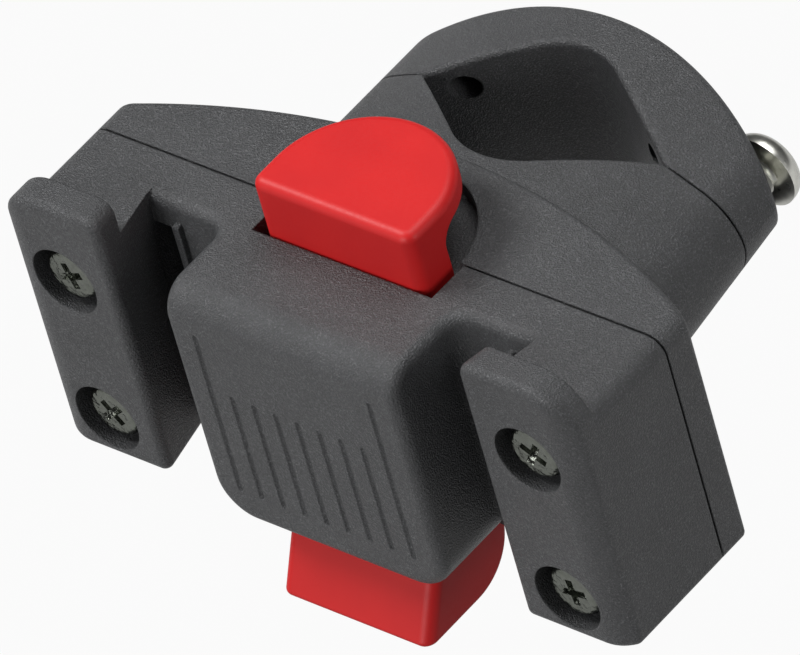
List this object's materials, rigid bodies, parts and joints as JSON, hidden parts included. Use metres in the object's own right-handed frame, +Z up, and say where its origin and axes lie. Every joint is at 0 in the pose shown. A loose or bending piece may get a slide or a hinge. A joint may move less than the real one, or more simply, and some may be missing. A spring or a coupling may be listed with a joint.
{
  "type": "bicycle handlebar bag mount",
  "caption": "Plastic bag receiver that clamps on an upright tube: two hook channels beside a ribbed block, and a sprung push-button slider with a wedge foot.",
  "frame": {"origin": "axis of the clamped upright tube at the mid height of the clamp", "axes": "+X to the right seen from the front, +Y from the bag towards the clamp, +Z up along the tube"},
  "size_m": [0.0838, 0.063, 0.0525],
  "materials": {
    "housing": "fine textured",
    "slider": "satin",
    "spring": "drawn wire",
    "bolt": "polished stainless",
    "screw": "zinc plated"
  },
  "bodies": {
    "housing": {"front_housing": "housing", "back_housing": "housing", "return_spring": "spring", "clamp_nut_left": "screw", "clamp_nut_right": "screw", "upper_screw_left": "screw", "upper_screw_right": "screw", "lower_screw_left": "screw", "lower_screw_right": "screw"},
    "slider": {"release_slider": "slider"},
    "jaw": {"clamp_cap": "housing"},
    "bolt_left": {"clamp_bolt_left": "bolt"},
    "bolt_right": {"clamp_bolt_right": "bolt"}
  },
  "joints": [
    {"name": "slider_press", "type": "slide", "parent": "housing", "child": "slider", "axis": [0, 0, -1], "range_m": [0, 0.004], "stiffness_N_per_m": 1500, "springref_m": -0.003, "deforming": ["return_spring"]},
    {"name": "jaw_slide", "type": "slide", "parent": "housing", "child": "jaw", "axis": [0, 1, 0], "range_m": [0, 0.006]},
    {"name": "bolt_left_turn", "type": "hinge", "parent": "jaw", "child": "bolt_left", "pos_m": [-0.0213, 0.0112, 0], "axis": [0, 1, 0], "range_deg": [0, 2700]},
    {"name": "bolt_right_turn", "type": "hinge", "parent": "jaw", "child": "bolt_right", "pos_m": [0.0213, 0.0112, 0], "axis": [0, 1, 0], "range_deg": [0, 2700]}
  ],
  "couplings": [
    {"joint": "bolt_left_turn", "follows": "jaw_slide", "rad_per_m": 7854},
    {"joint": "bolt_right_turn", "follows": "jaw_slide", "rad_per_m": 7854}
  ]
}
